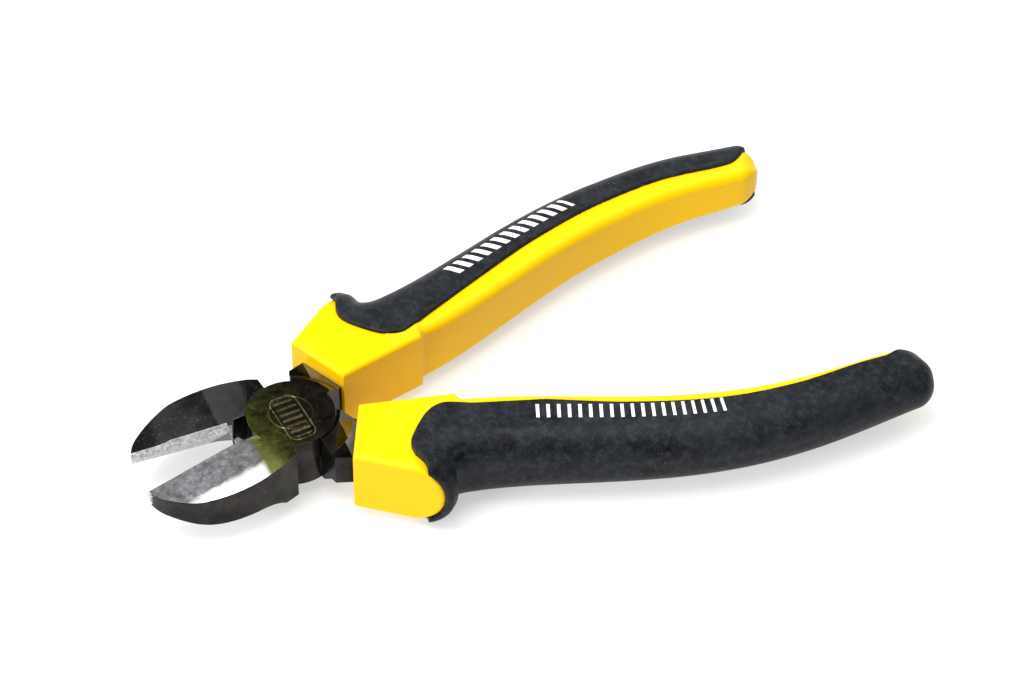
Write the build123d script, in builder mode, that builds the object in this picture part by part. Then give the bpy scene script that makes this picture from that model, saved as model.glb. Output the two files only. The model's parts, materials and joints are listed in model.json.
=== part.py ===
"""Diagonal cutting pliers with two-component grips, lying flat with the jaws part open.

Seven real pieces: two forged levers, the rivet that holds them, two hard handle sleeves and
two soft covers.  All sizes are in millimetres.  The origin is on the pivot axis, on the flat
underside of the joint; +X runs towards the handles, +Y to the handle of the upper lever and
+Z up, out of the joint's top face.  The pivot axis is +Z.
"""
from build123d import *
from math import cos, radians, sin
import os

os.makedirs("parts", exist_ok=True)

# Joint
HEAD_T = 11.0          # thickness of the joint
JOINT_R = 8.6          # round boss of each lever
JOINT_CLEAR = 0.15     # radial gap between a boss and the other lever's hollow
LAP_GAP = 0.04         # gap between the two lapped faces
Z_MID = HEAD_T / 2     # the plane in which the two levers meet

# Rivet
RIVET_R = 3.0
RIVET_HEAD_R = 4.3
RIVET_HEAD_DEPTH = 1.3
RIVET_CLEAR = 0.05     # running clearance in the lower lever, all round

# Jaws, drawn half open
HALF_OPEN = 8.4        # degrees each cutting edge stands away from the tool's centre line
JAW_REACH = 31.4       # pivot axis to the tip of a cutting edge
EDGE_START = 12.1      # pivot axis to the inner end of a cutting edge
EDGE_RISE = 3.1        # height of that inner end above Z_MID; the tip is at Z_MID
BEVEL_H = 1.9          # height of the ground cutting bevel, above and below the edge
BEVEL_IN = 1.1         # how far that bevel reaches into the jaw
UPPER_RUNOUT_R = 14.0  # radius where the grinding of the upper face runs out
LOWER_RUNOUT_R = 6.0   # and of the lower face

# Tangs
TANG_HALF_T = 3.45     # half the thickness of a tang
SHOULDER_R = 12.2      # foot of the sloping shoulder between the joint and the tang

# Handles
BLOCK_HALF_T = 7.2     # half the thickness of the sleeve's front block
GUARD_HALF_T = 8.1     # half the thickness of the cover round the finger guard
TAIL_R = 2.6           # rounding of the free end of the handle
CORE_END = 0.985       # place along the grip line where the sleeve ends inside the cover
SKIN_SIDE = 1.6        # thickness of the soft cover on the outer side
SKIN_FACE = 0.8        # and on the upper and lower faces

TURN_AXIS = Axis((0, 0, Z_MID), (1, 0, 0))


def turned_over(part):
    """The same piece for the other lever: tangs, sleeves and covers are used both ways up."""
    return part.rotate(TURN_AXIS, 180)


# ---------------------------------------------------------------- jaw of the upper lever


def face_plane(height, x_slope, y_slope):
    """Plane at height above Z_MID over the pivot, rising by x_slope along +X and y_slope along +Y."""
    return Plane((0, 0, Z_MID + height), x_dir=(1, 0, x_slope), z_dir=(-x_slope, -y_slope, 1))


def on_jaw(distance, inward=0, height=0):
    """Point at a distance from the pivot along the cutting edge, inward into the jaw."""
    edge_x, edge_y = -cos(radians(HALF_OPEN)), -sin(radians(HALF_OPEN))
    return Vector(
        distance * edge_x - inward * edge_y, distance * edge_y + inward * edge_x,
        Z_MID + height,
    )


# The forging's upper face falls from the joint to the tip.
forged_face = face_plane(6.95, 0.162, 0.058)

with BuildPart() as forging_top:
    with BuildSketch(forged_face):
        with Locations((-20, -8)):
            Rectangle(40, 24)
    extrude(amount=8)

# Upper and lower faces are ground from the tip, and the wheel leaves a hollow where it stops.
with BuildPart() as upper_wheel:
    with BuildSketch(face_plane(6.35, 0.150, 0.062)):
        with BuildLine():
            run_out = ThreePointArc((-12.6, 0.5), (-11.7, -8.0), (-8.6, -15.5))
            Polyline(run_out @ 1, (-36, -17), (-36, 0.5), run_out @ 0)
        make_face()
    extrude(amount=16)
    fillet(upper_wheel.faces().sort_by(Axis.Z)[0].edges().sort_by(Axis.X)[-1], UPPER_RUNOUT_R)

with BuildPart() as lower_wheel:
    with BuildSketch(face_plane(1.1, 0.041, 0.32)):
        with BuildLine():
            run_out = ThreePointArc((-10.8, 0.5), (-8.0, -8.0), (-2.6, -15.5))
            Polyline(run_out @ 1, (-36, -17), (-36, 0.5), run_out @ 0)
        make_face()
    extrude(amount=-9)
    fillet(lower_wheel.faces().sort_by(Axis.Z)[-1].edges().sort_by(Axis.X)[-1], LOWER_RUNOUT_R)

# The cutting bevels are ground along the edge, which rises from the tip towards the joint.
edge_tip = on_jaw(JAW_REACH)
edge_root = on_jaw(EDGE_START, height=EDGE_RISE)
edge_out = on_jaw(0, inward=-1) - on_jaw(0)
edge_plane = Plane(edge_root, x_dir=edge_out, z_dir=edge_tip - edge_root)

with BuildPart() as edge_wheel:
    with BuildSketch(edge_plane):
        with BuildLine():
            Polyline(
                (0, 0), (-4 * BEVEL_IN, 4 * BEVEL_H), (3, 4 * BEVEL_H),
                (3, -4 * BEVEL_H), (-4 * BEVEL_IN, -4 * BEVEL_H), close=True,
            )
        make_face()
    extrude(amount=JAW_REACH)

with BuildPart() as jaw:
    with BuildSketch(Plane.XY):
        with BuildLine():
            tip = (edge_tip.X, edge_tip.Y)
            root = on_jaw(EDGE_START - 0.6)
            back = Spline(
                (-2.8, -10.9), (-9.4, -13.2), (-16.0, -13.9), (-22.5, -12.8), (-28.0, -9.2), tip,
                tangents=[(-1, -0.4), (-0.3, 1)],
            )
            Polyline(back @ 1, (root.X, root.Y), (-10.6, -2.9), (-7.5, -2.9), (-2.3, -7.6), back @ 0)
        make_face()
    extrude(amount=HEAD_T)
    for wheel in (forging_top, upper_wheel, lower_wheel, edge_wheel):
        add(wheel.part, mode=Mode.SUBTRACT)

# ---------------------------------------------------------------- tang

tang_outer = [(7.4, 13.7), (24.0, 18.3), (38.0, 22.9), (56.0, 29.2), (77.0, 34.9), (96.0, 35.8)]
tang_inner = [(96.0, 31.4), (77.0, 29.4), (56.0, 22.2), (38.0, 15.3), (24.0, 9.9), (11.9, 4.5)]

with BuildPart() as tang_blank:
    with BuildSketch(Plane.XY):
        with BuildLine():
            outer = Spline(*tang_outer)
            inner = Spline(*tang_inner)
            ThreePointArc(outer @ 1, (98.4, 33.6), inner @ 0)
            Polyline(inner @ 1, (8.4, 2.4), (6.0, 1.6), (2.0, 5.0), (4.2, 12.6), outer @ 0)
        make_face()
    extrude(amount=HEAD_T)

# The tang is thinner than the joint, with a sloping shoulder round the joint.
with BuildPart() as tang:
    add(tang_blank.part)
    for face_z, depth in ((HEAD_T, TANG_HALF_T - Z_MID), (0, Z_MID - TANG_HALF_T)):
        with BuildSketch(Plane.XY.offset(face_z)):
            Rectangle(260, 120)
            Circle(SHOULDER_R - 1.3 * abs(depth), mode=Mode.SUBTRACT)
        extrude(amount=depth, taper=50, mode=Mode.SUBTRACT)


def hollowed(part, boss_side):
    """Cut a jaw or a tang back round the other lever's boss, below (+1) or above (-1) Z_MID."""
    with BuildPart() as cut:
        add(part)
        with BuildSketch(Plane.XY.offset(Z_MID + boss_side * LAP_GAP / 2)):
            Circle(JOINT_R + JOINT_CLEAR)
        extrude(amount=-boss_side * HEAD_T, mode=Mode.SUBTRACT)
    return cut.part


def boss(boss_side):
    """Round boss of one lever, above (+1) or below (-1) Z_MID."""
    with BuildPart() as disc:
        with BuildSketch(Plane.XY.offset(Z_MID + boss_side * LAP_GAP / 2)):
            Circle(JOINT_R)
        extrude(amount=boss_side * (Z_MID - LAP_GAP / 2))
    return disc.part


# ---------------------------------------------------------------- rivet and the two levers


def rivet_profile(gap):
    """Half section of the rivet with two flush conical heads, grown by gap on every side."""
    head, shank, depth = RIVET_HEAD_R + gap, RIVET_R + gap, RIVET_HEAD_DEPTH
    return [
        (0, 0), (head, 0), (shank, depth), (shank, HEAD_T - depth), (head, HEAD_T), (0, HEAD_T),
    ]


with BuildPart() as pivot_rivet:
    with BuildSketch(Plane.XZ):
        with BuildLine():
            Polyline(*rivet_profile(0), close=True)
        make_face()
    revolve(axis=Axis.Z)

with BuildPart() as rivet_room:
    with BuildSketch(Plane.XZ):
        with BuildLine():
            Polyline(*rivet_profile(RIVET_CLEAR), close=True)
        make_face()
    revolve(axis=Axis.Z)

with BuildPart() as upper_lever:
    for forged in (boss(1), hollowed(jaw.part, 1), hollowed(tang.part, 1)):
        add(forged)
    add(pivot_rivet.part, mode=Mode.SUBTRACT)

with BuildPart() as lower_lever:
    far_jaw = mirror(hollowed(jaw.part, -1), about=Plane.XZ)
    for forged in (boss(-1), far_jaw, hollowed(turned_over(tang.part), -1)):
        add(forged)
    add(rivet_room.part, mode=Mode.SUBTRACT)

# ---------------------------------------------------------------- handle of the upper lever

grip_line = Spline((20, 15.4), (35, 18.2), (56, 25.9), (77, 32.1), (98, 33.8), (121, 33.0))

# Place along the grip line, half width and half height of the covered handle
grip_sections = [(0.0, 7.4, 7.9), (0.36, 7.3, 7.0), (0.70, 6.9, 6.3), (1.0, 6.1, 5.3)]


def grip_plane(place):
    """Plane across the grip line, its x axis pointing to the outer side of the handle."""
    along = grip_line % place
    return Plane((grip_line @ place) + Vector(0, 0, Z_MID), x_dir=(-along.Y, along.X, 0), z_dir=along)


with BuildPart() as covered_handle:
    for place, half_w, half_h in grip_sections:
        with BuildSketch(grip_plane(place)):
            RectangleRounded(2 * half_w, 2 * half_h, 0.6 * min(half_w, half_h))
    loft()
    fillet(covered_handle.faces().sort_by(Axis.X)[-1].edges(), TAIL_R)

with BuildPart() as handle_core:
    for place, half_w, half_h in grip_sections:
        width, height = 2 * half_w - SKIN_SIDE, 2 * (half_h - SKIN_FACE)
        with BuildSketch(grip_plane(min(place, CORE_END))):
            with Locations((-SKIN_SIDE / 2, 0)):
                RectangleRounded(width, height, 0.6 * min(width, height) / 2)
    loft()
    fillet(handle_core.faces().sort_by(Axis.X)[-1].edges(), TAIL_R - SKIN_FACE)

# Outline of the soft cover seen from above: round the finger guard, then along the handle
with BuildPart() as cover_region:
    with BuildSketch(Plane.XY.offset(Z_MID - 12)):
        with BuildLine():
            edge = Spline(
                (17.1, 21.5), (19.1, 16.2), (22.0, 12.7), (26.4, 10.5), (33.5, 13.2), (49.0, 20.0),
                (68.0, 26.8), (93.0, 31.6), (110.0, 31.4), (124.0, 33.0),
            )
            Polyline(edge @ 1, (124.0, 50.0), (12.0, 50.0), (12.0, 25.0), edge @ 0)
        make_face()
    extrude(amount=24)

with BuildPart() as finger_guard:
    with BuildSketch(Plane.XY.offset(Z_MID - GUARD_HALF_T)):
        with BuildLine():
            guard = Spline(
                (16.2, 20.0), (18.4, 26.2), (21.4, 28.7), (24.2, 26.2), (28.0, 23.2), (37.0, 25.6)
            )
            Polyline(guard @ 1, (33.0, 15.0), (26.0, 10.6), (20.0, 14.6), guard @ 0)
        make_face()
    extrude(amount=2 * GUARD_HALF_T)

with BuildPart() as block_room:
    with BuildSketch(Plane.XY.offset(Z_MID - BLOCK_HALF_T)):
        with BuildLine():
            Polyline(
                (12.4, 4.0), (30.8, 9.2), (34.0, 22.0), (24.0, 25.0), (20.3, 27.6), (6.3, 16.7),
                close=True,
            )
        make_face()
    extrude(amount=2 * BLOCK_HALF_T)

with BuildPart() as front_block:
    add(block_room.part)
    fillet(front_block.edges().filter_by(Axis.Z), 1.2)
    fillet(front_block.edges().filter_by(lambda e: abs(e.center().Z - Z_MID) > 6.9), 1.0)

with BuildPart() as upper_sleeve:
    add(front_block.part)
    add(handle_core.part)
    add(upper_lever.part, mode=Mode.SUBTRACT)

with BuildPart() as upper_cover:
    add(covered_handle.part)
    add(finger_guard.part)
    add(cover_region.part, mode=Mode.INTERSECT)
    add(block_room.part, mode=Mode.SUBTRACT)
    add(handle_core.part, mode=Mode.SUBTRACT)

# ---------------------------------------------------------------- handle of the lower lever

with BuildPart() as lower_sleeve:
    add(turned_over(upper_sleeve.part))

with BuildPart() as lower_cover:
    add(turned_over(upper_cover.part))

# ---------------------------------------------------------------- pieces

upper_lever.part.label = "upper_lever"
lower_lever.part.label = "lower_lever"
pivot_rivet.part.label = "pivot_rivet"
upper_sleeve.part.label = "upper_handle_sleeve"
lower_sleeve.part.label = "lower_handle_sleeve"
upper_cover.part.label = "upper_handle_cover"
lower_cover.part.label = "lower_handle_cover"

for piece in (upper_lever, lower_lever, pivot_rivet, upper_sleeve, lower_sleeve, upper_cover, lower_cover):
    export_step(piece.part, f"parts/{piece.part.label}.step")
    print(piece.part.label, len(piece.part.solids()), round(piece.part.volume, 1))
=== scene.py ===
# %% [markdown]
# Diagonal cutting pliers
#
# The tool has seven pieces: two forged steel levers on one rivet, and on each tang a hard yellow
# sleeve with a soft black cover moulded over it.  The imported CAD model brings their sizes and
# their places.  Here the two kinds of plastic get their real, rounded shapes, the steel gets its
# ground and forged faces, and a camera looks at the tool as it lies on a pale floor.

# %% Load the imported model
import json
from math import cos, radians, sin

import bmesh
import bpy
import numpy as np
from mathutils import Matrix, Vector


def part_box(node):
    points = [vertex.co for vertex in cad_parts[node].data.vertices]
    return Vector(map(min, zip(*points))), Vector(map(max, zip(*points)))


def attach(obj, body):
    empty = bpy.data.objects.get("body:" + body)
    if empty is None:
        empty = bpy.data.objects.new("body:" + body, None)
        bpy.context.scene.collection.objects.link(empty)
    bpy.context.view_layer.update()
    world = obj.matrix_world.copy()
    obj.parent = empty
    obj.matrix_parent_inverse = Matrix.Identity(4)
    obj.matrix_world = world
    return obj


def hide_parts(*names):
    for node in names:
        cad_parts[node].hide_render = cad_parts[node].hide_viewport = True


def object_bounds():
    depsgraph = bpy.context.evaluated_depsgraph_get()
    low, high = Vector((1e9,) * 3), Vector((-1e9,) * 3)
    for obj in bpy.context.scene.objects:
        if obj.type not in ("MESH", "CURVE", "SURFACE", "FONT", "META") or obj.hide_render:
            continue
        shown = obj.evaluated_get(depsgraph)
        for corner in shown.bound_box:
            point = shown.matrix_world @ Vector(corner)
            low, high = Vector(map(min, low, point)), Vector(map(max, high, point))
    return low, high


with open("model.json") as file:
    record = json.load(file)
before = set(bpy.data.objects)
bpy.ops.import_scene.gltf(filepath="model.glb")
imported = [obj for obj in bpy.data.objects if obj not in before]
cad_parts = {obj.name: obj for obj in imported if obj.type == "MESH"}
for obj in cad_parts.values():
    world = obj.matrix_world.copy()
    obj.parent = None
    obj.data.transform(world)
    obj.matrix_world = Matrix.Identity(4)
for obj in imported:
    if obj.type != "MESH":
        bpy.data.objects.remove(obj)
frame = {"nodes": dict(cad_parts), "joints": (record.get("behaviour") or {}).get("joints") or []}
cad_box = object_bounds()
print("CAD model from", tuple(cad_box[0]), "to", tuple(cad_box[1]))

# %% [markdown]
# The shapes below are worked out in millimetres, with the height measured from the plane in
# which the two levers meet.  The joint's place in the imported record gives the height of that
# plane.  The lower lever's handle is the upper one's turned over about the X axis, so both are
# worked out in the upper one's place.

# %% Units and the middle plane
MM = 0.001
MIDDLE = frame["joints"][0]["pos_m"][2] / MM
JOINT_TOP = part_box("upper_lever")[1].z / MM
print("middle plane at", round(MIDDLE, 3), "mm, top of the joint at", round(JOINT_TOP, 3), "mm")

# %% [markdown]
# Moulded plastic has no sharp edges: every face runs into the next through a small radius, and
# the guard grows out of the grip through a large one.  Such a body is easy to say as a distance
# field, a function that is negative inside and positive outside, because two fields combine in
# one line.  Modelling it from patches would need a surface for every blend.

# %% Ways to combine two distance fields


def meet(a, b, r):
    """Common part of two bodies: the larger distance, with the edge rounded to radius r."""
    return np.minimum(np.maximum(a, b), -r) + np.hypot(np.maximum(a + r, 0), np.maximum(b + r, 0))


def blend(a, b, r):
    """Both bodies together: the smaller distance, less a parabola where they differ by under r."""
    share = np.clip(0.5 + 0.5 * (b - a) / r, 0, 1)
    return b + (a - b) * share - r * share * (1 - share)


# %% Smooth outlines seen from above


def line_through(points, steps=6):
    """Cubic curve through points, whose slope at each is half the way from the point before to
    the point after."""
    p = np.array(points, float)
    p = np.vstack([2 * p[0] - p[1], p, 2 * p[-1] - p[-2]])
    a, b, c, d = p[:-3], p[1:-2], p[2:-1], p[3:]
    t = np.linspace(0, 1, steps, endpoint=False)[:, None, None]
    curve = (
        b + t * (c - a) / 2 + t**2 * (a - 2.5 * b + 2 * c - d / 2)
        + t**3 * (1.5 * b - a / 2 - 1.5 * c + d / 2)
    )
    return np.vstack([curve.transpose(1, 0, 2).reshape(-1, 2), p[-2:-1]])


def outline_distance(x, y, outline):
    """Distance from plan points to the nearest side of a closed outline, negative inside it.
    A point is inside if a line from it towards +X crosses an odd number of sides."""
    nearest = np.full(np.shape(x), np.inf)
    inside = np.zeros(np.shape(x), bool)
    for (ax, ay), (bx, by) in zip(outline, np.roll(outline, -1, axis=0)):
        side_x, side_y = bx - ax, by - ay
        share = ((x - ax) * side_x + (y - ay) * side_y) / (side_x**2 + side_y**2)
        share = np.clip(share, 0, 1)
        nearest = np.minimum(nearest, np.hypot(x - ax - share * side_x, y - ay - share * side_y))
        if side_y:
            crosses = ((ay > y) != (by > y)) & (x < ax + side_x * (y - ay) / side_y)
            inside ^= crosses
    return np.where(inside, -nearest, nearest)


# %% [markdown]
# A field becomes a mesh by surface nets.  Space is cut into small cells, each cell that the
# surface passes through gets one vertex, and each grid edge that it crosses gets one face
# between the four cells round that edge.  The vertices are then moved along the field's slope
# until they lie on the surface, and the slope is also the exact normal for shading.

# %% From a field to vertices and faces


def slope_of(field, points, reach=0.01):
    """Slope of a field at points, from its change over a short reach along each axis."""
    x, y, z = points.T
    return np.stack([
        field(x + reach, y, z) - field(x - reach, y, z),
        field(x, y + reach, z) - field(x, y - reach, z),
        field(x, y, z + reach) - field(x, y, z - reach),
    ], axis=1) / (2 * reach)


def cell_vertices(value, inside):
    """Number of each cell that the surface crosses, and the mean of the crossings on its edges."""
    cells = np.array(value.shape) - 1
    total, count = np.zeros((*cells, 3), np.float32), np.zeros(cells, np.int8)
    for axis in range(3):
        for corner in range(4):
            shift = np.zeros(3, int)
            shift[(axis + 1) % 3], shift[(axis + 2) % 3] = corner // 2, corner % 2
            near = tuple(slice(s, s + n) for s, n in zip(shift, cells))
            shift[axis] = 1
            far = tuple(slice(s, s + n) for s, n in zip(shift, cells))
            shift[axis] = 0
            crossed = inside[near] != inside[far]
            share = value[near][crossed] / (value[near][crossed] - value[far][crossed])
            place = np.repeat(shift[None].astype(float), len(share), axis=0)
            place[:, axis] = share
            total[crossed] += place
            count[crossed] += 1
    number = np.full(cells, -1)
    found = count > 0
    number[found] = np.arange(found.sum())
    return number, np.argwhere(found) + total[found] / count[found][:, None]


def cell_faces(number, inside):
    """One face round each crossed grid edge, turned so that it looks from inside to outside."""
    faces = []
    for axis in range(3):
        u, v = (axis + 1) % 3, (axis + 2) % 3
        near = np.take(inside, range(inside.shape[axis] - 1), axis)
        far = np.take(inside, range(1, inside.shape[axis]), axis)
        edge = np.argwhere(near != far)
        leaves = near[tuple(edge.T)]
        ring = []
        for back_u, back_v in ((1, 1), (0, 1), (0, 0), (1, 0)):
            cell = edge.copy()
            cell[:, u] -= back_u
            cell[:, v] -= back_v
            ring.append(number[tuple(cell.T)])
        ring = np.stack(ring, axis=1)
        faces.append(np.where(leaves[:, None], ring, ring[:, ::-1]))
    return np.vstack(faces)


def surface_of(field, low, high, step, rounds=4):
    """Vertices, faces and normals of the surface where a field is nought."""
    axes = [np.arange(a, b + step, step) for a, b in zip(low, high)]
    value = field(*np.meshgrid(*axes, indexing="ij", sparse=True))
    inside = value < 0
    number, cell = cell_vertices(value, inside)
    points = np.array(low) + cell * step
    for _ in range(rounds):
        slope = slope_of(field, points)
        size = np.maximum((slope**2).sum(1), 0.05)
        move = np.clip(field(*points.T) / size, -step / 2, step / 2)
        points = points - move[:, None] * slope
    slope = slope_of(field, points)
    normals = slope / np.maximum(np.linalg.norm(slope, axis=1), 1e-6)[:, None]
    return points, cell_faces(number, inside), normals


# %% [markdown]
# The grip is a bar that follows one gentle curve.  Its inner side is nearly flat, because two
# grips lie side by side when the tool is closed, and its outer side is round for the palm.  It
# gets thinner towards the free end, which is rounded off.

# %% The bar of the grip
GRIP_X = [20.0, 35.0, 56.0, 77.0, 98.0, 121.0]
GRIP_Y = [15.4, 18.2, 25.9, 32.3, 34.2, 33.5]
grip_curve = np.polynomial.Polynomial.fit(GRIP_X, GRIP_Y, 5)

SECTION_X = [20.0, 55.6, 90.0, 121.0]
half_width = np.polynomial.Polynomial.fit(SECTION_X, [7.4, 7.3, 6.5, 5.6], 3)
half_height = np.polynomial.Polynomial.fit(SECTION_X, [8.2, 7.0, 6.3, 5.3], 3)
INNER_R, OUTER_R = 2.2, 5.6
BARE_INNER_R, BARE_OUTER_R = 2.0, 4.0
GRIP_END = GRIP_X[-1]
END_R, END_R_INSIDE, END_R_DEPTH = 4.2, 7.0, 5.0
BARE_END_R = 0.6
SKIN_SIDE, SKIN_FACE = 1.6, 0.8
BAR_START = 24.0


def grip_line(x):
    """Height in Y of the grip line at x: a curve of the fifth degree, and its tangent before it."""
    start = GRIP_X[0]
    return grip_curve(np.maximum(x, start)) + grip_curve.deriv()(start) * np.minimum(x - start, 0)


def grip_slope(x):
    """Slope of the grip line at x."""
    return grip_curve.deriv()(np.maximum(x, GRIP_X[0]))


def grip_place(x, y):
    """Foot on the grip line and signed distance across it, positive on the outer side."""
    foot = x + 0 * y
    for _ in range(3):
        slope = grip_slope(foot)
        foot = foot + (x - foot + (y - grip_line(foot)) * slope) / (1 + slope**2)
    slope = grip_slope(foot)
    return foot, (y - grip_line(foot) - slope * (x - foot)) / np.sqrt(1 + slope**2)


def bar(across, up, half_w, half_h, inner_r, outer_r):
    """Bar of rectangular section, its corners rounded more on the outer side than on the inner."""
    turn = np.clip(0.5 + across / half_w, 0, 1)
    r = inner_r + (outer_r - inner_r) * turn * turn * (3 - 2 * turn)
    side, face = np.abs(across) - half_w + r, np.abs(up) - half_h + r
    beyond_corner = np.hypot(np.maximum(side, 0), np.maximum(face, 0))
    return beyond_corner + np.minimum(np.maximum(side, face), 0) - r


def end_radius(across):
    """Radius of the free end's rounding, wider on the inner side of the grip."""
    return END_R + (END_R_INSIDE - END_R) * np.clip(-across / END_R_DEPTH, 0, 1)


def covered_bar(x, y, z):
    """The grip with its cover on: the bar, cut off at its free end with a wide rounding."""
    foot, across = grip_place(x, y)
    held = np.maximum(foot, GRIP_X[0])
    section = bar(across, z, half_width(held), half_height(held), INNER_R, OUTER_R)
    return meet(section, foot - GRIP_END, end_radius(across))


def bare_bar(x, y, z):
    """The sleeve's bar under the cover: thinner by the cover above, below, outside and at the end."""
    foot, across = grip_place(x, y)
    section = bar(
        across + SKIN_SIDE / 2, z, half_width(foot) - SKIN_SIDE / 2,
        half_height(foot) - SKIN_FACE, BARE_INNER_R, BARE_OUTER_R,
    )
    ended = meet(section, foot - GRIP_END + SKIN_FACE, end_radius(across) - BARE_END_R)
    return np.maximum(ended, BAR_START - foot)


# %% [markdown]
# In front the sleeve is a solid block that the tang goes into.  Its outer side is a flat face
# that ends in a half circle, and the cover's guard stands round that half circle as a rim.  Both
# are measured in the plane of that face: how far along it from its front corner, and how high.

# %% The front block and its outer face
BLOCK = np.array([(12.4, 4.0), (30.6, 8.3), (31.8, 16.0), (23.4, 24.6), (20.9, 28.2), (6.3, 16.7)])
BLOCK_HALF, BLOCK_EDGE_R = 7.2, 1.0
FACE_FRONT = np.array([6.3, 16.7])
FACE_ALONG = np.array([0.79, 0.62]) / np.hypot(0.79, 0.62)
DOME_START, DOME_R, DOME_DEPTH = 11.0, 7.2, 5.0


def face_place(x, y):
    """Distance along the block's outer face from its front corner, and distance out of it."""
    dx, dy = x - FACE_FRONT[0], y - FACE_FRONT[1]
    return dx * FACE_ALONG[0] + dy * FACE_ALONG[1], dy * FACE_ALONG[0] - dx * FACE_ALONG[1]


def dome(along, up, start, r):
    """Flat bar of height 2 r that ends in a half circle of radius r about start."""
    return np.hypot(np.maximum(along - start, 0), up) - r


def front_block(x, y, z):
    """The block: its plan outline and its thickness, and near its outer face the half circle."""
    plan = outline_distance(x + 0 * y, y + 0 * x, BLOCK)
    along, out = face_place(x, y)
    ending = np.minimum(dome(along, z, DOME_START, DOME_R), out + DOME_DEPTH)
    return meet(plan, np.maximum(np.abs(z) - BLOCK_HALF, ending), BLOCK_EDGE_R)


# %% [markdown]
# The cover is a skin over the sleeve.  Seen from above it starts in a rounded corner behind the
# block and runs along the grip, and it leaves a strip of the sleeve bare on the inner side.  Its
# edge stands proud as a small rounded lip.  The block's half circle is let into it as a pad.

# %% The soft cover
SIDE_LEAN, SIDE_FROM, SIDE_LENGTH, SIDE_LEVEL = 0.17, 32.0, 14.0, 6.5
TAIL_LEAN, TAIL_FROM = 0.0165, 112.0
cover_edge = line_through([
    (16.2, 29.6), (17.6, 26.6), (18.4, 23.8), (17.3, 20.9), (17.7, 18.0), (20.3, 14.6),
    (23.6, 11.6), (26.8, 10.5), (29.6, 11.3), (35.0, 13.9), (49.0, 20.4), (62.0, 26.0),
    (78.0, 30.9), (93.0, 32.6), (108.0, 31.9), (118.0, 32.2), (126.0, 32.6),
])
cover_outline = np.vstack([cover_edge, [(140, 32), (140, 60), (10, 60)]])
GUARD_START, GUARD_R, GUARD_DEPTH = 11.6, 8.3, 3.2
GUARD_EDGE_R, GUARD_BLEND = 1.1, 6.0
PAD, PAD_ROOT = 1.3, 2.0
LIP_R = 0.35
STEP_BLEND = 0.9
UNDERLAP, OVERLAP = 1.5, 0.12
SHORT_END = 118.6


def cover_region(x, y, z):
    """Distance to the cover's outline.  The outline leans: outward on the upper face of this grip
    and inward on the lower one, a little along the grip and strongly at the free end."""
    side = SIDE_LEAN * np.clip((x - SIDE_FROM) / SIDE_LENGTH, 0, 1) * (z - SIDE_LEVEL)
    tail = TAIL_LEAN * np.maximum(x - TAIL_FROM, 0) ** 2 * z
    return outline_distance(x + 0 * y + 0 * z, y - side - tail, cover_outline)


def face_room(along, out, up, depth):
    """The block's half circle carried inward from its outer face, as far as depth."""
    return np.maximum(dome(along, up, DOME_START, DOME_R), -out - depth)


def sleeve(x, y, z):
    """The hard sleeve: the front block, which ends a little way under the cover, and the bar of
    the grip, which meet in a small step."""
    along, out = face_place(x, y)
    region = outline_distance(x + 0 * y, y + 0 * x, cover_outline)
    block = np.maximum(
        front_block(x, y, z), np.minimum(-region - UNDERLAP, face_room(along, out, z, PAD_ROOT))
    )
    return blend(block, bare_bar(x, y, z), STEP_BLEND)


def guard(x, y, z):
    """Finger guard: a plate behind the block's outer face that ends in a wider half circle."""
    along, out = face_place(x, y)
    plate = np.abs(out + GUARD_DEPTH / 2) - GUARD_DEPTH / 2
    return meet(dome(along, z, GUARD_START, GUARD_R), plate, GUARD_EDGE_R)


def cover(x, y, z):
    """The cover: grip and guard in one, inside the cover's outline, less the pad and less the
    sleeve itself but for a thin overlap."""
    body = blend(covered_bar(x, y, z), guard(x, y, z), GUARD_BLEND)
    along, out = face_place(x, y)
    skin = meet(meet(body, cover_region(x, y, z), LIP_R), -face_room(along, out, z, PAD), LIP_R)
    return np.maximum(skin, -sleeve(x, y, z) - OVERLAP)


def short_cover(x, y, z):
    """The upper handle's cover, which stops a little before the sleeve does."""
    return meet(cover(x, y, z), x - SHORT_END, LIP_R)


# %% [markdown]
# The sleeve is meshed once for both handles.  The cover is meshed twice, because the upper
# handle's stops before the end.  The upper handle is also a little shorter and stands out more.

# %% Mesh the sleeves and covers
DRAWN_FROM, DRAWN_SHARE, DRAWN_OUT, DRAWN_LENGTH = 80.0, 0.115, 1.0, 25.0
CELL = 0.3
FAR_CORNER = (123.5, 42)


def turned_over(points):
    """Half a turn about the X axis through the middle plane."""
    return points * (1, -1, -1)


def drawn_in(points):
    """The rear half of a grip, shortened evenly, because the upper one is the shorter of the two,
    and moved out sideways by a smooth step."""
    beyond = np.maximum(points[:, 0] - DRAWN_FROM, 0)
    share = np.minimum(beyond / DRAWN_LENGTH, 1)
    sideways = DRAWN_OUT * share * share * (3 - 2 * share)
    return points + np.stack([-beyond * DRAWN_SHARE, sideways, 0 * beyond], axis=1)


def mesh_piece(name, points, faces, normals):
    """Object with its place in its mesh, its exact normals, and where on the grip each point is."""
    mesh = bpy.data.meshes.new(name)
    mesh.from_pydata((points + (0, 0, MIDDLE)) * MM, [], faces.tolist())
    mesh.polygons.foreach_set("use_smooth", np.ones(len(faces), bool))
    mesh.normals_split_custom_set_from_vertices(normals.tolist())
    foot, across = grip_place(points[:, 0], np.abs(points[:, 1]))
    places = np.stack([foot, across, points[:, 2]], axis=1).astype(np.float32)
    grip = mesh.attributes.new("grip_place", "FLOAT_VECTOR", "POINT")
    grip.data.foreach_set("vector", places.ravel())
    piece = bpy.data.objects.new(name, mesh)
    bpy.context.scene.collection.objects.link(piece)
    return piece


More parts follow.
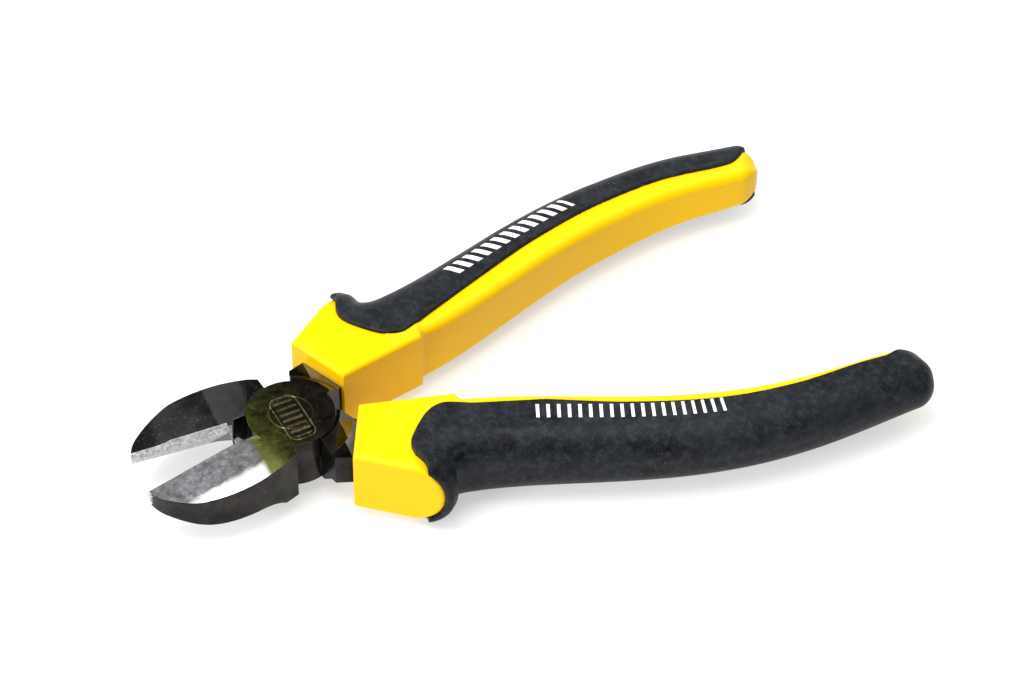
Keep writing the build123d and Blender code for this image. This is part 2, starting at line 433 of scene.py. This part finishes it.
handles = {}
for kind, low, fields in (
    ("sleeve", (4, 2, -9), (sleeve,)), ("cover", (13, 8, -9.4), (short_cover, cover))
):
    meshes = [surface_of(field, low, (*FAR_CORNER, -low[2]), CELL) for field in fields]
    for side, (points, faces, normals) in (("upper", meshes[0]), ("lower", meshes[-1])):
        if side == "upper":
            points = drawn_in(points)
        else:
            points, normals = turned_over(points), turned_over(normals)
        node = f"{side}_handle_{kind}"
        handles[node] = mesh_piece(f"{side}_{kind}", points, faces, normals)
        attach(handles[node], f"{side}_half")
        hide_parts(node)
        print(side, kind, len(points), "vertices,", 2 * len(faces), "triangles")

# %% [markdown]
# The levers are forged and ground steel, and their CAD shapes are right.  A copy of each mesh
# has its loose triangles joined up, so that round walls shade smoothly, and its faces are sorted
# by what was done to them: the cutting bevels, the ground tops of the jaws and the joint, the
# cleaned tangs, and the rest, which is as it came from the forge.

# %% Copy the levers and sort their faces
HALF_OPEN = radians(8.4)
EDGE_TIP, EDGE_ROOT, EDGE_RISE = 31.4, 12.1, 3.1
BEVEL_WIDTH, BEVEL_REACH = 1.35, 2.2
SHARP = radians(24)
FORGED, GROUND, BEVEL, TANG = range(4)


def joined_copy(name, node):
    """Copy of a CAD node with its triangles joined at their corners and sharp edges kept."""
    mesh = frame["nodes"][node].data.copy()
    mesh.materials.clear()
    if "custom_normal" in mesh.attributes:
        mesh.attributes.remove(mesh.attributes["custom_normal"])
    work = bmesh.new()
    work.from_mesh(mesh)
    bmesh.ops.remove_doubles(work, verts=work.verts, dist=1e-6)
    work.to_mesh(mesh)
    work.free()
    mesh.polygons.foreach_set("use_smooth", np.ones(len(mesh.polygons), bool))
    mesh.set_sharp_from_angle(angle=SHARP)
    piece = bpy.data.objects.new(name, mesh)
    bpy.context.scene.collection.objects.link(piece)
    return piece


def sort_faces(mesh, jaw_side):
    """Mark each face of a lever by its treatment; jaw_side is -1 or +1 for the jaw's side in Y.
    A bevel face lies just inward of the cutting edge, and a ground one slopes gently on the jaw or
    is level with the joint's face.  The lower lever's tang is cleaned all round, the upper one's
    only on its slopes."""
    count = len(mesh.polygons)
    centre, normal = np.empty(3 * count), np.empty(3 * count)
    mesh.polygons.foreach_get("center", centre)
    mesh.polygons.foreach_get("normal", normal)
    x, y, z = (centre.reshape(-1, 3) / MM - (0, 0, MIDDLE)).T
    tilt = np.abs(normal.reshape(-1, 3)[:, 2])
    along = -x * cos(HALF_OPEN) + y * jaw_side * sin(HALF_OPEN)
    inward = x * sin(HALF_OPEN) + y * jaw_side * cos(HALF_OPEN)
    edge_height = EDGE_RISE * (EDGE_TIP - along) / (EDGE_TIP - EDGE_ROOT)
    level = (tilt > 0.999) & (np.abs(z) > JOINT_TOP - MIDDLE - 0.1)
    near_edge = (inward < BEVEL_WIDTH) & (np.abs(z - edge_height) < BEVEL_REACH)
    work = np.full(count, FORGED)
    work[(along > 3) & (tilt > 0.8) | level] = GROUND
    work[near_edge & (along > EDGE_ROOT - 1) & (tilt < 0.8)] = BEVEL
    work[(work == FORGED) & (x > 8) & ((tilt > 0.3) | (jaw_side > 0))] = TANG
    mesh.polygons.foreach_set("material_index", work)
    return np.bincount(work, minlength=4)


levers = {}
for side, jaw_side in (("upper", -1), ("lower", 1)):
    levers[side] = joined_copy(f"{side}_forging", f"{side}_lever")
    print(side, "faces by treatment:", sort_faces(levers[side].data, jaw_side))
    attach(levers[side], f"{side}_half")
    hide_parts(f"{side}_lever")

rivet = joined_copy("ground_rivet", "pivot_rivet")
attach(rivet, "upper_half")
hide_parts("pivot_rivet")

# %% [markdown]
# Materials are small networks of nodes.  Two helpers keep them short: one adds a node and joins
# its inputs, the other adds a sum.  All patterns read the piece's own coordinates in metres, so
# a scale of 1000 gives grain about a millimetre across.

# %% Helpers for materials


def add_node(tree, kind, inputs=None, **settings):
    """New node; each input gets a number, a colour, or the output of another node."""
    node = tree.nodes.new("ShaderNode" + kind)
    for key, value in settings.items():
        setattr(node, key, value)
    for key, value in (inputs or {}).items():
        if isinstance(value, bpy.types.NodeSocket):
            tree.links.new(value, node.inputs[key])
        else:
            node.inputs[key].default_value = value
    return node


def calc(tree, operation, a, b=0.0, c=0.0):
    """Result of a sum on one to three numbers."""
    return add_node(tree, "Math", {0: a, 1: b, 2: c}, operation=operation).outputs[0]


def within(tree, value, low, high):
    """1 where value lies between low and high, otherwise 0."""
    return calc(
        tree, "MULTIPLY", calc(tree, "GREATER_THAN", value, low), calc(tree, "LESS_THAN", value, high)
    )


def spread(tree, value, low, high, to_low, to_high):
    """Value carried from one range into another, and held at its ends."""
    node = add_node(
        tree, "MapRange", {"Value": value, "From Min": low, "From Max": high, "To Min": to_low,
                           "To Max": to_high},
    )
    return node.outputs[0]


def noise(tree, place, scale, detail=3.0, rough=0.5):
    """Cloudy noise between 0 and 1, with features about 1 / scale metres across."""
    inputs = {"Vector": place, "Scale": scale, "Detail": detail, "Roughness": rough}
    return add_node(tree, "TexNoise", inputs).outputs[0]


def mixed(tree, share, a, b):
    """Colour that goes from a to b as share goes from 0 to 1."""
    node = add_node(tree, "Mix", data_type="RGBA")
    for key, value in ((0, share), (6, a), (7, b)):
        if isinstance(value, bpy.types.NodeSocket):
            tree.links.new(value, node.inputs[key])
        else:
            node.inputs[key].default_value = value if key == 0 else (*value, 1)
    return node.outputs[2]


def new_material(name):
    """Material with its tree, its main shader, and the piece's own coordinates."""
    made = bpy.data.materials.new(name)
    made.use_nodes = True
    tree = made.node_tree
    place = add_node(tree, "TexCoord").outputs["Object"]
    return made, tree, tree.nodes["Principled BSDF"], place


def set_bump(tree, shader, height, depth, strength=1.0, normal=None):
    """Joins a height between 0 and 1 to the shader as relief of a depth in metres."""
    inputs = {"Height": height, "Distance": depth, "Strength": strength}
    if normal is not None:
        inputs["Normal"] = normal
    bump = add_node(tree, "Bump", inputs)
    tree.links.new(bump.outputs[0], shader.inputs["Normal"])


# %% [markdown]
# The sleeve is a glossy hard plastic.  Its yellow is nearly even; side walls get a deeper orange as
# painted shade; a faint clouding from the mould and a very shallow waviness keep it from looking
# flat.

# %% Yellow plastic
yellow, tree, shader, place = new_material("glossy_yellow_plastic")
cloud = noise(tree, place, 60, 2)
normal = add_node(tree, "TexCoord").outputs["Normal"]
facing_up_for_painted_shade = calc(tree, "ABSOLUTE", add_node(tree, "SeparateXYZ", {0: normal}).outputs[2])
bright = mixed(tree, cloud, (0.90, 0.58, 0.001), (0.92, 0.63, 0.002))
# Painted shade: faces that stand upright get a deeper orange than the faces that look up.
colour = mixed(tree, spread(tree, facing_up_for_painted_shade, 0.1, 0.75, 0, 1), (0.84, 0.50, 0.0), bright)
tree.links.new(colour, shader.inputs["Base Color"])
rough = spread(tree, noise(tree, place, 90, 2), 0.3, 0.7, 0.22, 0.30)
tree.links.new(rough, shader.inputs["Roughness"])
shader.inputs["Specular IOR Level"].default_value = 0.15
set_bump(tree, shader, noise(tree, place, 120, 1), 0.006 * MM)

# %% [markdown]
# The cover is a soft rubber with a dry, slightly bloomed surface: charcoal with a cool tint,
# cloudy where it has been handled, and with specks of dust.  Print on both covers is white.  The
# marks are plain bars, placed by how far along and across the grip a point is.

# %% Black rubber with its printed bars


def rubber(name, start, end, middle, half, period, duty, slant):
    """Rubber with a row of printed bars between start and end along the grip, on the top face.
    The row is 2 half wide about middle, which is measured across the grip.  A bar covers the
    share duty of each period, and leans by slant across the row."""
    made, tree, shader, place = new_material(name)
    cloud = noise(tree, place, 120, 6, 0.62)
    grain = noise(tree, place, 1500, 4, 0.7)
    share = spread(tree, cloud, 0.35, 0.7, 0, 1)
    colour = mixed(tree, share, (0.0025, 0.003, 0.004), (0.015, 0.018, 0.022))
    bloom = spread(tree, noise(tree, place, 620, 6, 0.75), 0.46, 0.72, 0, 0.75)
    colour = mixed(tree, bloom, colour, (0.036, 0.041, 0.049))
    dust = calc(tree, "GREATER_THAN", noise(tree, place, 2300, 1), 0.74)
    dust = calc(tree, "MULTIPLY", dust, spread(tree, noise(tree, place, 90, 2), 0.45, 0.7, 0, 0.5))
    colour = mixed(tree, dust, colour, (0.30, 0.32, 0.34))
    grip = add_node(tree, "Attribute", attribute_name="grip_place").outputs["Vector"]
    parts = add_node(tree, "SeparateXYZ", {0: grip}).outputs
    height = add_node(tree, "SeparateXYZ", {0: place}).outputs[2]
    offset = calc(tree, "SUBTRACT", parts[1], middle)
    along = calc(tree, "SUBTRACT", calc(tree, "MULTIPLY_ADD", offset, slant, parts[0]), start)
    bars = calc(tree, "LESS_THAN", calc(tree, "FRACT", calc(tree, "DIVIDE", along, period)), duty)
    printed = calc(tree, "MULTIPLY", bars, within(tree, along, 0, end - start))
    printed = calc(tree, "MULTIPLY", printed, within(tree, offset, -half, half))
    printed = calc(tree, "MULTIPLY", printed, calc(tree, "GREATER_THAN", height, MIDDLE * MM))
    tree.links.new(mixed(tree, printed, colour, (0.86, 0.87, 0.86)), shader.inputs["Base Color"])
    tree.links.new(spread(tree, cloud, 0.3, 0.7, 0.34, 0.55), shader.inputs["Roughness"])
    shader.inputs["Specular IOR Level"].default_value = 0.14
    relief = calc(tree, "MULTIPLY_ADD", cloud, 2.0, grain)
    set_bump(tree, shader, relief, 0.03 * MM, 0.8)
    return made


rubbers = {
    "upper": rubber("rubber_with_slanted_bars", 43.4, 73, 2.0, 1.65, 2.4, 0.52, 0.45),
    "lower": rubber("rubber_with_upright_bars", 42.4, 78, -1.6, 1.75, 1.9, 0.32, 0.0),
}
for side, side_rubber in rubbers.items():
    handles[f"{side}_handle_sleeve"].data.materials.append(yellow)
    handles[f"{side}_handle_cover"].data.materials.append(side_rubber)

# %% [markdown]
# The steel is one metal with several finishes, and all of them come from one network.  The
# forging is dark and satin, the tangs are cleaned and greyer, and the cutting bevels are rough and
# bright because the wheel has only just cut them.

# %% Steel
BREAK_R = 0.18


def steel(name, dark, light, roughness, brush, speck, clouds=220, metallic=1.0):
    """Steel between two colours, its sharp edges broken by a small radius.  Brush is the share of
    fine grinding lines across the tool, speck the share of small bright pits, and clouds the
    number of patches in a metre."""
    made, tree, shader, place = new_material(name)
    cloud = noise(tree, place, clouds, 6, 0.6)
    stretched = add_node(tree, "Mapping", {"Vector": place, "Scale": (1, 0.06, 1)}).outputs[0]
    lines = noise(tree, stretched, 5200, 3, 0.7)
    specks = calc(tree, "GREATER_THAN", noise(tree, place, 3400, 2, 0.6), 0.735 - 0.12 * speck)
    share = spread(tree, calc(tree, "MULTIPLY_ADD", lines, brush, cloud), 0.4, 0.75 + brush, 0, 1)
    colour = mixed(tree, share, dark, light)
    colour = mixed(tree, calc(tree, "MULTIPLY", specks, speck), colour, (0.8, 0.79, 0.76))
    tree.links.new(colour, shader.inputs["Base Color"])
    shader.inputs["Metallic"].default_value = metallic
    rough = spread(tree, cloud, 0.3, 0.7, roughness * 0.75, roughness * 1.25)
    tree.links.new(rough, shader.inputs["Roughness"])
    rounded = add_node(tree, "Bevel", {"Radius": BREAK_R * MM}, samples=4).outputs[0]
    relief = calc(tree, "MULTIPLY_ADD", lines, brush, calc(tree, "MULTIPLY", specks, speck))
    set_bump(tree, shader, relief, 0.02 * MM, 0.7, rounded)
    return made, tree, shader, place, colour


forged = steel("forged_steel", (0.016, 0.015, 0.015), (0.050, 0.046, 0.042), 0.20, 0.1, 0.2)[0]
tang = steel("tang_steel", (0.12, 0.115, 0.10), (0.34, 0.32, 0.29), 0.30, 0.3, 0.3)[0]
bevel = steel(
    "cutting_bevel_steel", (0.16, 0.16, 0.17), (1.0, 1.0, 1.0), 0.36, 0.3, 0.9, 1500, 0.5
)[0]

# %% [markdown]
# A mark is etched into the joint's top face.  It is drawn as a plain frame with rounded ends and
# a few parallel bars in it: the distance to a rounded rectangle gives the frame where it is near
# nought and the room for the bars where it is well below.

# %% The joint's colour, with the etched mark
MARK_X, MARK_Y, MARK_TURN = -0.12, -1.28, -85
MARK_HALF = (5.9, 2.7)
MARK_R = 1.7
MARK_LINE, MARK_ROOM = 0.17, 0.65
STRIPE_PERIOD, STRIPE_SHARE = 1.6, 0.42
JOINT_FADE = 1.2


def etched_mark(tree, place):
    """1 on the lines of the mark, otherwise 0.  The frame is where the distance to a rounded
    rectangle is within half a line's width of nought, and the bars are where it is well below."""
    millimetres = (1 / MM, 1 / MM, 1 / MM)
    centred = add_node(
        tree, "Mapping", {"Vector": place, "Location": (-MARK_X, -MARK_Y, 0), "Scale": millimetres}
    )
    turned = add_node(
        tree, "VectorRotate", {"Vector": centred.outputs[0], "Angle": radians(-MARK_TURN)},
        rotation_type="Z_AXIS",
    ).outputs[0]
    flat = add_node(tree, "VectorMath", {0: turned, 1: (1, 1, 0)}, operation="MULTIPLY").outputs[0]
    folded = add_node(tree, "VectorMath", {0: flat}, operation="ABSOLUTE").outputs[0]
    beyond = add_node(
        tree, "VectorMath", {0: folded, 1: (MARK_HALF[0] - MARK_R, MARK_HALF[1] - MARK_R, 0)},
        operation="SUBTRACT",
    ).outputs[0]
    outside = add_node(tree, "VectorMath", {0: beyond, 1: (0, 0, 0)}, operation="MAXIMUM").outputs[0]
    length = add_node(tree, "VectorMath", {0: outside}, operation="LENGTH").outputs["Value"]
    distance = calc(tree, "SUBTRACT", length, MARK_R)
    turned_x = add_node(tree, "SeparateXYZ", {0: turned}).outputs[0]
    place_in_period = calc(tree, "FRACT", calc(tree, "DIVIDE", turned_x, STRIPE_PERIOD))
    bars = calc(tree, "LESS_THAN", place_in_period, STRIPE_SHARE)
    bars = calc(tree, "MULTIPLY", bars, calc(tree, "LESS_THAN", distance, -MARK_ROOM))
    lines = calc(tree, "MAXIMUM", within(tree, distance, -MARK_LINE, MARK_LINE), bars)
    height = add_node(tree, "SeparateXYZ", {0: place}).outputs[2]
    return calc(tree, "MULTIPLY", lines, calc(tree, "GREATER_THAN", height, (JOINT_TOP - 0.2) * MM))


def joint_colour(tree, place):
    """Oiled flat steel, from olive on the jaws' side to dark brown on the handles' side."""
    x = add_node(tree, "SeparateXYZ", {0: place}).outputs[0]
    green = calc(tree, "MULTIPLY_ADD", x, -60.0, noise(tree, place, 330, 6, 0.68))
    share = spread(tree, green, 0.3, 1.05, 0, 1)
    oiled = mixed(tree, share, (0.045, 0.038, 0.027), (0.155, 0.17, 0.04))
    return mixed(tree, etched_mark(tree, place), oiled, (0.46, 0.36, 0.22))


def with_joint(tree, place, colour, edge):
    """A jaw's colour that runs into the joint's where x passes edge, in millimetres."""
    x = add_node(tree, "SeparateXYZ", {0: place}).outputs[0]
    share = spread(tree, x, (edge - JOINT_FADE) * MM, edge * MM, 0, 1)
    return mixed(tree, share, colour, joint_colour(tree, place))


# %% [markdown]
# Each lever's top is one material that runs from the jaw to the joint.  The upper jaw's ground
# face is speckled grey, with a painted reflection that turns it near white towards its back.  The
# lower jaw's is painted near black as a dark reflection, with a dull grey zone beside the joint.

# %% The top faces of the levers and the rivet
UPPER_JOINT_EDGE, LOWER_JOINT_EDGE = -8.6, 0.0
REFLECTION_PAINT_FROM, REFLECTION_PAINT_TO, REFLECTION_PAINT_RAGGED = 8.4, 10.0, 1.6
DULL_FROM, DULL_TO, DULL_RAGGED = -13.4, -12.8, 0.8

upper_top, tree, shader, place, colour = steel(
    "speckled_ground_steel_painted_reflection", (0.06, 0.06, 0.065), (0.26, 0.26, 0.27), 0.22, 0.25, 0.35, 700
)
parts = add_node(tree, "SeparateXYZ", {0: place}).outputs
away = calc(tree, "MULTIPLY", parts[1], -cos(HALF_OPEN))
inward = calc(tree, "MULTIPLY_ADD", parts[0], sin(HALF_OPEN), away)
# Painted reflection: the ground face's colour goes to near white in a ragged band towards its back.
ragged = calc(tree, "MULTIPLY_ADD", noise(tree, place, 500, 4), REFLECTION_PAINT_RAGGED * MM, inward)
painted_reflection = spread(tree, ragged, REFLECTION_PAINT_FROM * MM, REFLECTION_PAINT_TO * MM, 0, 1)
colour = mixed(tree, painted_reflection, colour, (0.95, 0.95, 0.95))
colour = with_joint(tree, place, colour, UPPER_JOINT_EDGE)
tree.links.new(colour, shader.inputs["Base Color"])

# Painted dark reflection: the lower jaw's ground face gets near-black colours, though it is the same
# steel as the upper one.
lower_top, tree, shader, place, colour = steel(
    "ground_steel_painted_dark", (0.016, 0.016, 0.018), (0.055, 0.055, 0.057), 0.15, 0.05, 0.35
)
x = add_node(tree, "SeparateXYZ", {0: place}).outputs[0]
ragged = calc(tree, "MULTIPLY_ADD", noise(tree, place, 420, 5), DULL_RAGGED * MM, x)
dull = spread(tree, ragged, DULL_FROM * MM, DULL_TO * MM, 0, 0.8)
colour = mixed(tree, dull, colour, (0.13, 0.13, 0.135))
colour = with_joint(tree, place, colour, LOWER_JOINT_EDGE)
tree.links.new(colour, shader.inputs["Base Color"])

rivet_top, tree, shader, place, colour = steel(
    "rivet_face_steel", (0.045, 0.038, 0.027), (0.10, 0.10, 0.03), 0.2, 0.1, 0.3
)
tree.links.new(joint_colour(tree, place), shader.inputs["Base Color"])

for side, top in (("upper", upper_top), ("lower", lower_top)):
    for finish in (forged, top, bevel, tang):
        levers[side].data.materials.append(finish)
rivet.data.materials.append(rivet_top)
print("steel finishes:", [m.name for m in levers["upper"].data.materials])

# %% [markdown]
# The floor is a pale, evenly lit table, wide enough to fill the view from every side.  It glows a
# little, so that shadows on it stay faint.

# %% Floor
FLOOR_HALF = 3.0
FLOOR_GLOW = 0.5
floor_z = min(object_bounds()[0].z, cad_box[0].z)
corners = [(x, y, floor_z) for x, y in ((-1, -1), (1, -1), (1, 1), (-1, 1))]
mesh = bpy.data.meshes.new("floor")
mesh.from_pydata([(x * FLOOR_HALF, y * FLOOR_HALF, z) for x, y, z in corners], [], [(0, 1, 2, 3)])
floor = bpy.data.objects.new("floor", mesh)
bpy.context.scene.collection.objects.link(floor)
pale, tree, shader, place = new_material("pale_floor")
shader.inputs["Base Color"].default_value = (0.50, 0.50, 0.50, 1)
shader.inputs["Emission Color"].default_value = (1, 1, 1, 1)
shader.inputs["Emission Strength"].default_value = FLOOR_GLOW
shader.inputs["Roughness"].default_value = 0.9
floor.data.materials.append(pale)
print("floor at", round(floor_z / MM, 2), "mm")

# %% [markdown]
# The light is that of a white tent, brightest overhead and weak on the side towards the near
# right.  One part of the tent behind the tool is left dark, so that the flat steel has something
# dark to mirror.  A large lamp overhead and one from the left give the soft highlights.

# %% Light
DARK_PART = Vector((0.18, 0.70, 0.69)).normalized()
DARK_FROM, DARK_TO = 0.955, 0.985
SHADED_SIDE = Vector((0.45, -0.89, 0)).normalized()
TENT_STRENGTH = 1.8
world = bpy.data.worlds.new("tent")
world.use_nodes = True
bpy.context.scene.world = world
tree = world.node_tree
direction = add_node(tree, "TexCoord").outputs["Generated"]
elevation = add_node(tree, "SeparateXYZ", {0: direction}).outputs[2]
towards = add_node(tree, "VectorMath", {0: direction, 1: DARK_PART}, operation="DOT_PRODUCT")
share = spread(tree, towards.outputs["Value"], DARK_FROM, DARK_TO, 0, 1)
sideways = add_node(tree, "VectorMath", {0: direction, 1: SHADED_SIDE}, operation="DOT_PRODUCT")
shade = spread(tree, sideways.outputs["Value"], -0.1, 0.8, 1, 0.12)
lit = calc(tree, "MULTIPLY", spread(tree, elevation, 0.0, 0.8, 0.2, 1), shade)
tent = mixed(tree, lit, (0.0, 0.0, 0.0), (1.0, 1.0, 1.0))
sky = mixed(tree, share, tent, (0.01, 0.01, 0.01))
background = tree.nodes["Background"]
tree.links.new(sky, background.inputs["Color"])
background.inputs["Strength"].default_value = TENT_STRENGTH


def area_light(name, place, aim, size, power):
    """Square lamp at place that points at aim, both in metres."""
    data = bpy.data.lights.new(name, "AREA")
    data.size, data.energy = size, power
    lamp = bpy.data.objects.new(name, data)
    bpy.context.scene.collection.objects.link(lamp)
    lamp.location = place
    lamp.rotation_euler = (Vector(aim) - Vector(place)).to_track_quat("-Z", "Y").to_euler()
    return lamp


area_light("overhead", (-0.15, 0.05, 0.75), (0.03, 0, 0), 0.5, 3.5)
area_light("from_left", (-0.8, -0.3, 0.35), (0.02, 0, 0), 0.35, 5)

# %% [markdown]
# The camera looks down at the tool from the near left.  It is placed by two angles and a
# distance from the point it looks at, and it is tilted very slightly about its own line of sight.

# %% Camera
AZIMUTH, ELEVATION, ROLL = radians(-23.44), radians(44.87), radians(0.61)
DISTANCE = 675.76
LOOKED_AT = Vector((43.94, -5.04, 18.41))
SENSOR_WIDTH, FOCAL_LENGTH = 36, 123.05
back = Vector((sin(AZIMUTH) * cos(ELEVATION), -cos(AZIMUTH) * cos(ELEVATION), sin(ELEVATION)))
level = Vector((cos(AZIMUTH), sin(AZIMUTH), 0))
right = level * cos(ROLL) + back.cross(level) * sin(ROLL)
up = back.cross(right)
lens = bpy.data.cameras.new("camera")
lens.sensor_width, lens.lens = SENSOR_WIDTH, FOCAL_LENGTH
camera = bpy.data.objects.new("camera", lens)
bpy.context.scene.collection.objects.link(camera)
camera.matrix_world = Matrix.Translation((LOOKED_AT + back * DISTANCE) * MM) @ Matrix(
    (right, up, back)
).transposed().to_4x4()
bpy.context.scene.camera = camera
bpy.context.scene.view_settings.view_transform = "Standard"
print("camera at", tuple(round(c, 4) for c in camera.matrix_world.translation))
